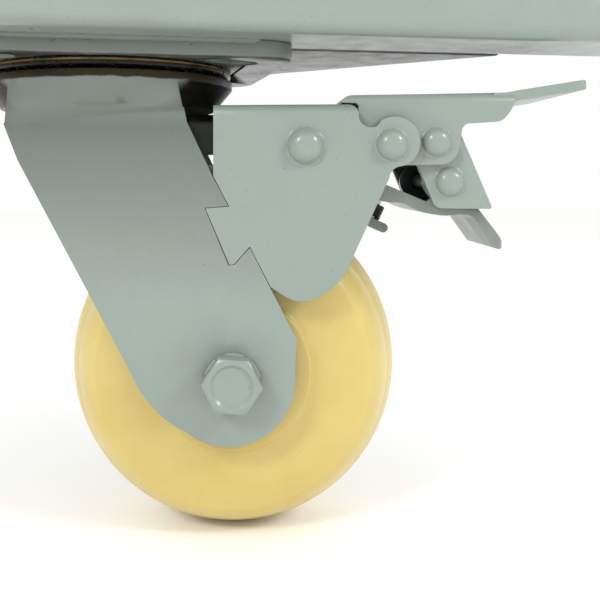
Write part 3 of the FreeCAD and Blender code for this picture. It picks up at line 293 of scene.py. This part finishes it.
def paper_floor(name, colour):
    """Seamless white paper: matt, barely uneven."""
    material, tree, place = start_material(name)
    fibre = noise_mask(tree, place, 60.0, 0.3, 0.8, 0.10)
    return finish_material(material, {
        "Base Color": layered(tree, (*colour, 1.0), ((fibre, "#eeeeec"),)),
        "Roughness": 0.9,
        "Specular IOR Level": 0.1})


# ---------------------------------------------------------------- shaping helpers
def new_piece(name, shape, place, material, body, replaces=()):
    """A finished mesh in the object's frame, riding on a body."""
    bmesh.ops.remove_doubles(shape, verts=shape.verts, dist=1e-7)
    bmesh.ops.recalc_face_normals(shape, faces=shape.faces)
    bmesh.ops.transform(shape, matrix=place, verts=shape.verts)
    mesh = bpy.data.meshes.new(name)
    shape.to_mesh(mesh)
    shape.free()
    piece = bpy.data.objects.new(name, mesh)
    bpy.context.scene.collection.objects.link(piece)
    mesh.materials.append(material)
    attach(piece, body)
    if replaces:
        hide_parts(*replaces)
    return piece


def smooth(piece, angle=35):
    """Smooth shading that stops at edges sharper than an angle."""
    piece.data.set_sharp_from_angle(angle=math.radians(angle))
    for face in piece.data.polygons:
        face.use_smooth = True


def arc(centre, radius, start, end, steps):
    """Points of an arc, angles in degrees from the profile's first axis."""
    angles = [math.radians(start + (end - start) * step / steps) for step in range(steps + 1)]
    return [(centre[0] + radius * math.cos(angle), centre[1] + radius * math.sin(angle)) for angle in angles]


def through(start, middle, end, steps):
    """Points of the arc that runs through three points."""
    (ax, ay), (bx, by), (cx, cy) = start, middle, end
    twice = 2 * (ax * (by - cy) + bx * (cy - ay) + cx * (ay - by))
    squares = (ax ** 2 + ay ** 2, bx ** 2 + by ** 2, cx ** 2 + cy ** 2)
    centre = ((squares[0] * (by - cy) + squares[1] * (cy - ay) + squares[2] * (ay - by)) / twice,
              (squares[0] * (cx - bx) + squares[1] * (ax - cx) + squares[2] * (bx - ax)) / twice)
    first, last = (math.degrees(math.atan2(y - centre[1], x - centre[0])) for x, y in (start, end))
    sweep = (last - first + 180) % 360 - 180
    return arc(centre, math.dist(centre, start), first, first + sweep, steps)


def bead(shape, start, run, out, up, length, radius):
    """One weld bead: a quarter round laid as overlapping ripples of uneven size."""
    ripple, step, segments = 2.2, 0.55, 8
    randomness = random.Random(int(length + start.x))
    swell = [randomness.uniform(0.86, 1.0) for number in range(int(length / ripple) + 3)]
    rings = []
    for number in range(int(length / step) + 1):
        place = length * number / int(length / step)
        ring = [shape.verts.new((start + run * place) * MM)]
        for part in range(segments + 1):
            angle = math.pi / 2 * part / segments
            lag = 1.3 * math.sin(2 * angle)
            phase = (place + lag) / ripple
            size = radius * swell[int(phase)] * (0.90 + 0.10 * math.sqrt(phase % 1.0))
            size *= 0.35 + 0.65 * min(1.0, place / 2.5 + 0.2, (length - place) / 2.5 + 0.2)
            spot = start + run * place + (out * math.cos(angle) + up * math.sin(angle)) * size
            ring.append(shape.verts.new(spot * MM))
        rings.append(ring)
    for low, high in zip(rings, rings[1:]):
        for index in range(len(low)):
            after = (index + 1) % len(low)
            shape.faces.new((low[index], low[after], high[after], high[index]))
    shape.faces.new(rings[0])
    shape.faces.new(reversed(rings[-1]))


def turned(profile, steps, closed=False):
    """A lathe shape about the fork's across axis from (radius, across) points in millimetres."""
    shape = bmesh.new()
    verts = [shape.verts.new((radius * MM, across * MM, 0)) for radius, across in profile]
    edges = [shape.edges.new(pair) for pair in zip(verts, verts[1:])]
    if closed:
        edges.append(shape.edges.new((verts[-1], verts[0])))
    bmesh.ops.spin(shape, geom=verts + edges, cent=(0, 0, 0), axis=(0, 1, 0), angle=math.tau,
                   steps=steps, use_merge=True, use_duplicate=False)
    return shape


# ---------------------------------------------------------------- settings
class EnamelSettings(bpy.types.PropertyGroup):
    colour: FloatVectorProperty(name="Enamel", description="Colour of the sprayed enamel", subtype="COLOR",
                                size=3, min=0, max=1, default=linear("#86928a")[:3])
    edge: FloatProperty(name="Edge", description="Rounding of the cut sheet edges", subtype="DISTANCE",
                        unit="LENGTH", default=0.6 * MM)


class WheelSettings(bpy.types.PropertyGroup):
    colour: FloatVectorProperty(name="Nylon", description="Colour of the cast nylon", subtype="COLOR",
                                size=3, min=0, max=1, default=linear("#cdb970")[:3])


class StageSettings(bpy.types.PropertyGroup):
    floor_colour: FloatVectorProperty(name="Floor", description="Colour of the paper floor", subtype="COLOR",
                                      size=3, min=0, max=1, default=linear("#fdfdfc")[:3])
    distance: FloatProperty(name="Distance", description="Camera before the wheel's middle plane",
                            subtype="DISTANCE", unit="LENGTH", default=330 * MM)
    lens: FloatProperty(name="Lens", description="Focal length in millimetres", default=51.0)


class CasterSettings(bpy.types.PropertyGroup):
    enamel: PointerProperty(type=EnamelSettings)
    wheel: PointerProperty(type=WheelSettings)
    stage: PointerProperty(type=StageSettings)


def settings():
    return bpy.context.scene.caster


class CASTER_OT_steelwork(bpy.types.Operator):
    """Give the pressed and welded steel its enamel and rounded cut edges"""
    bl_idname = "caster.steelwork"
    bl_label = "Steelwork"

    def execute(self, context):
        colour, edge = settings().enamel.colour, settings().enamel.edge
        enamel = sprayed_enamel("sprayed_enamel_on_pressed_steel", colour)
        for name in ("brake_housing", "pedal", "link_bracket", "base_rail", "side_rail", "axle_washers"):
            dress(name, enamel, edge)
        dress("axle_bolt", enamel, 1.1 * MM)
        dress("axle_nut", enamel, 0.6 * MM)
        dress("fork", sprayed_enamel("enamel_with_a_greasy_crown_and_painted_shade", colour, oily_shaded_crown=True), edge)
        # The brake lever and shoe: a greasy film, and painted shade for their place inside the housing.
        inner = sprayed_enamel("enamel_with_brake_grime_and_painted_shade", colour, grime=0.65, shade_and_joint_darkening=0.38)
        for name in ("brake_lever", "brake_shoe"):
            dress(name, inner, edge)
        # The soot and painted shade start just above the underside, so that the whole underside is darkened.
        for name, darkened_name, shade_and_joint_darkening, underside in (
                ("top_plate", "enamel_over_soot_and_painted_shade_below_the_plate", 0.55, -6.0),
                ("corner_gusset", "enamel_over_soot_and_painted_shade_below_the_gusset", 0.3, 0.0)):
            dress(name, sprayed_enamel(darkened_name, colour, 0.3, shade_and_joint_darkening, underside + 0.1), edge)
        return {"FINISHED"}


def dress(name, material, edge):
    """A CAD node's finish: smooth faces, and edges rounded by live modifiers."""
    node = frame["nodes"][name]
    node.data.materials.clear()
    node.data.materials.append(material)
    for face in node.data.polygons:
        face.use_smooth = True
    weld = node.modifiers.new("weld", "WELD")
    weld.merge_threshold = 1e-6
    bevel = node.modifiers.new("edge", "BEVEL")
    bevel.width = edge
    bevel.segments = 3
    bevel.limit_method = "ANGLE"
    bevel.angle_limit = math.radians(32)
    bevel.harden_normals = True
    bevel.miter_outer = "MITER_ARC"


class CASTER_OT_bearings(bpy.types.Operator):
    """Finish the races, balls, kingpin, axle and the other plain steel pieces"""
    bl_idname = "caster.bearings"
    bl_label = "Bearings"

    def execute(self, context):
        greased = greased_steel("turned_steel_under_old_grease")
        zinc = plated_steel("zinc_plated_steel")
        ground = plated_steel("ground_bearing_steel", "#cfd1d4", "#b4b7bb", 0.12, 0.22)
        for name in ("upper_race", "lower_race", "retaining_cup", "lock_ring"):
            dress(name, greased, 0.3 * MM)
        for name in ("kingpin", "kingpin_nut", "axle_sleeve", "axle_spacers", "adjusting_screw",
                     "swivel_pawl"):
            dress(name, zinc, 0.3 * MM)
        for name in ("main_balls", "lower_balls", "bearing_balls", "bearing_inner_rings",
                     "bearing_outer_rings", "bearing_shields"):
            dress(name, ground, 0.1 * MM)
        rubber = moulded("moulded_brake_rubber", "#232220", "#151413", 0.7, 0.6, 0.05)
        dress("brake_pad", rubber, 0.4 * MM)
        caps = moulded("moulded_polyethylene_cap", "#232425", "#18191a", 0.42, 0.5, 0.02)
        dress("rail_end_caps", caps, 0.6 * MM)
        return {"FINISHED"}


class CASTER_OT_wheel(bpy.types.Operator):
    """Turn the nylon wheel from its profile: domed tread, soft shoulders, a stepped hub"""
    bl_idname = "caster.wheel"
    bl_label = "Wheel"

    def execute(self, context):
        nylon = cast_nylon("cast_nylon_wheel", settings().wheel.colour)
        # Half the hub's width, the tread's crown, the bearing's seat and its depth, the hub's rim and
        # how far the web is sunk below it.
        half, radius, bore, seat, hub, dish = 25.0, 61.5, 22.02, 11.0, 28.5, 1.6
        lip, inner_round, outer_round, flat_to = 3.0, 0.6, 0.8, 36.0
        shoulder = (radius - 4, 13 - half)
        side = [(bore - lip, -seat), (bore, -seat), (bore, inner_round - half)]
        side += arc((bore + inner_round, inner_round - half), inner_round, 180, 270, 4)
        side += arc((hub - outer_round, outer_round - half), outer_round, 270, 360, 5)
        side += [(hub + 0.4, dish - 0.25 - half), (hub + 1.2, dish - half), (flat_to, dish - half)]
        side += through((radius - 12, dish - half), (radius - 6.9, 6.5 - half), shoulder, 14)
        side += through(shoulder, (radius - 1, -half * 0.241), (radius, 0), 12)[1:]
        profile = side + [(r, -across) for r, across in reversed(side[:-1])]
        shape = turned(profile, 192, closed=True)
        piece = new_piece("turned_wheel", shape, fork_frame(AXLE), nylon, "wheel", ("wheel",))
        smooth(piece, 40)
        return {"FINISHED"}


class CASTER_OT_rivets(bpy.types.Operator):
    """Form the pivot rivets: flattened domes with paint pooled round their feet"""
    bl_idname = "caster.rivets"
    bl_label = "Rivets"

    def execute(self, context):
        colour = settings().enamel.colour
        enamel = sprayed_enamel("enamel_pooled_on_rivets", colour, grime=0.05, peel_mm=0.03)
        lever, pedal, link = (pivot(name) for name in ("lever_turn", "pedal_press", "link_turn"))
        knee = link + ALONG * 5.4 * MM - UP * 14.0 * MM
        # The paint that has run round each head, the head's upright rim, and how far it stands off the
        # sheet so that the two don't share a face.
        pool, rim, off = 0.9, 0.7, 0.03
        for name, centre, body, grip, pin, head, tall in (
                ("lever_pivot_pin", lever, "swivel_fork", 36.0, 4.0, 6.2, 4.0),
                ("pedal_pivot_pin", pedal, "swivel_fork", 36.0, 4.0, 5.3, 3.4),
                ("link_pin", link, "pedal", 31.5, 3.5, 4.9, 3.2),
                ("knee_pin", knee, "link", 28.0, 3.5, 5.0, 3.2)):
            side = [(pin, grip + off), (head + pool, grip + off)]
            side += arc((head + pool, grip + pool + off), pool, 270, 180, 5)[1:]
            side += through((head, grip + rim + pool * 0.3), (head * 0.72, grip + tall * 0.80),
                            (0.0, grip + tall), 12)[1:]
            both = [(r, -across) for r, across in reversed(side)] + side
            piece = new_piece("formed_" + name, turned(both, 48), fork_frame(centre), enamel, body,
                              (name,))
            smooth(piece, 60)
        return {"FINISHED"}


class CASTER_OT_welds(bpy.types.Operator):
    """Lay the painted weld beads, one ripple after another"""
    bl_idname = "caster.welds"
    bl_label = "Welds"

    def execute(self, context):
        enamel = sprayed_enamel("enamel_over_weld_beads", settings().enamel.colour, 0.8, 0.6, peel_mm=0.06)
        x, y, z = Vector((1, 0, 0)), Vector((0, 1, 0)), UP
        # Each bead's radius, and its runs: start, direction, the two walls it fills, and its length.
        for name, radius, runs in (
                ("plate_welds", 1.8, ((Vector((-49.5, -50.8, 0)), x, -y, -z, 99.0),
                                      (Vector((-49.5, 50.8, 0)), x, y, -z, 99.0))),
                ("gusset_welds", 3.5, ((Vector((-28.3, -28.0, 5)), x, y, z, 164.3),
                                       (Vector((-32.0, -24.3, 5)), y, x, z, 164.3))),
                ("corner_weld", 3.5, ((Vector((-32.0, -28.0, 8.7)), z, x, y, 36.3),))):
            shape = bmesh.new()
            for start, run, out, up, length in runs:
                bead(shape, start, run, out, up, length, radius)
            piece = new_piece("laid_" + name, shape, Matrix(), enamel, "base_frame", (name,))
            smooth(piece, 50)
        return {"FINISHED"}


class CASTER_OT_spring(bpy.types.Operator):
    """Coil the brake shoe's spring round its adjusting screw"""
    bl_idname = "caster.spring"
    bl_label = "Spring"

    def execute(self, context):
        # The coil's radius and its wire's, how high it starts and its height, in millimetres.
        radius, wire, low, tall, turns, steps = 3.8, 0.8, 3.55, 5.8, 4, 28
        screw_foot, screw_lean = Vector((25.375, 0, -29.19)), math.radians(24.5)
        rise = (tall - 2 * wire) * MM / (turns * steps)
        shape = bmesh.new()
        ring = bmesh.ops.create_circle(shape, segments=12, radius=wire * MM, matrix=(
            Matrix.Translation(Vector((radius, 0, low + wire)) * MM) @ Matrix.Rotation(math.pi / 2, 4, "X")))
        edges = list({edge for vertex in ring["verts"] for edge in vertex.link_edges})
        bmesh.ops.spin(shape, geom=ring["verts"] + edges, cent=(0, 0, 0), axis=(0, 0, 1), dvec=(0, 0, rise),
                       angle=math.tau * turns, steps=turns * steps, use_merge=False, use_duplicate=False)
        bmesh.ops.holes_fill(shape, edges=[edge for edge in shape.edges if edge.is_boundary], sides=0)
        foot = Matrix.Translation(screw_foot * MM) @ Matrix.Rotation(screw_lean, 4, "Y")
        black = plated_steel("oil_blackened_spring_wire", "#3a3a3c", "#232224", 0.30, 0.45)
        place = fork_frame(pivot("lever_turn")) @ foot
        piece = new_piece("coiled_spring", shape, place, black, "brake_lever",
                          ("shoe_spring",))
        smooth(piece, 60)
        return {"FINISHED"}


class CASTER_OT_stage(bpy.types.Operator):
    """Lay the paper floor, hang the soft lights and set up the camera"""
    bl_idname = "caster.stage"
    bl_label = "Stage"

    def execute(self, context):
        chosen = settings().stage
        paper = paper_floor("seamless_white_paper", chosen.floor_colour)
        shape = bmesh.new()
        wheel_radius, gap = 61.5 * MM, 0.2 * MM
        bmesh.ops.create_grid(shape, x_segments=2, y_segments=2, size=3.0,
                              matrix=Matrix.Translation((0, 0, AXLE.z - wheel_radius - gap)))
        mesh = bpy.data.meshes.new("paper_floor")
        shape.to_mesh(mesh)
        shape.free()
        ground = bpy.data.objects.new("paper_floor", mesh)
        mesh.materials.append(paper)
        context.scene.collection.objects.link(ground)

        world = bpy.data.worlds.new("studio")
        world.use_nodes = True
        sky = world.node_tree.nodes["Background"]
        sky.inputs["Color"].default_value = linear("#ffffff")
        sky.inputs["Strength"].default_value = 1.0
        context.scene.world = world
        context.scene.view_settings.view_transform = "Standard"
        fork_middle = Vector((0, 0, -0.08))
        for name, place, power in (("upper_left", Vector((-0.60, -0.70, 0.50)), 4.2),
                                   ("upper_right", Vector((0.70, -0.65, 0.50)), 3.6)):
            light = bpy.data.lights.new(name, "AREA")
            light.size = 0.20
            light.energy = power
            lamp = bpy.data.objects.new(name, light)
            lamp.matrix_world = looking(place, fork_middle - place)
            context.scene.collection.objects.link(lamp)

        lens = bpy.data.cameras.new("camera")
        lens.lens = chosen.lens
        lens.sensor_width = 36
        lens.clip_start = 0.01
        # The camera looks straight at the fork's side; the shift frames the object off its axis.
        lens.shift_x, lens.shift_y = 0.0967, -0.2067
        right, above_axle = 51.4 * MM, 70.6 * MM
        camera = bpy.data.objects.new("camera", lens)
        place = ALONG * right - ACROSS * chosen.distance + UP * (AXLE.z + above_axle)
        camera.matrix_world = looking(place, ACROSS)
        context.scene.collection.objects.link(camera)
        context.scene.camera = camera
        return {"FINISHED"}


def looking(place, ahead):
    """A lamp or camera at a place, looking ahead, level with the horizon."""
    back = -ahead.normalized()
    side = UP.cross(back).normalized()
    turn = Matrix((side, back.cross(side), back)).transposed().to_4x4()
    return Matrix.Translation(place) @ turn


STEPS = (CASTER_OT_steelwork, CASTER_OT_bearings, CASTER_OT_wheel, CASTER_OT_rivets, CASTER_OT_welds,
         CASTER_OT_spring, CASTER_OT_stage)


class CASTER_PT_panel(bpy.types.Panel):
    """The caster's pieces, in the order they are made"""
    bl_idname = "CASTER_PT_panel"
    bl_label = "Scaffold caster"
    bl_space_type = "VIEW_3D"
    bl_region_type = "UI"
    bl_category = "Caster"

    def draw(self, context):
        for group in (settings().enamel, settings().wheel, settings().stage):
            for name in group.bl_rna.properties.keys():
                if name not in ("rna_type", "name"):
                    self.layout.prop(group, name)
        for step in STEPS:
            self.layout.operator(step.bl_idname)


CLASSES = (EnamelSettings, WheelSettings, StageSettings, CasterSettings, *STEPS, CASTER_PT_panel)


def register():
    for item in CLASSES:
        bpy.utils.register_class(item)
    bpy.types.Scene.caster = PointerProperty(type=CasterSettings)


def unregister():
    del bpy.types.Scene.caster
    for item in reversed(CLASSES):
        bpy.utils.unregister_class(item)


def main():
    register()
    for step in STEPS:
        group, name = step.bl_idname.split(".")
        getattr(getattr(bpy.ops, group), name)()


if __name__ == "__main__":
    main()
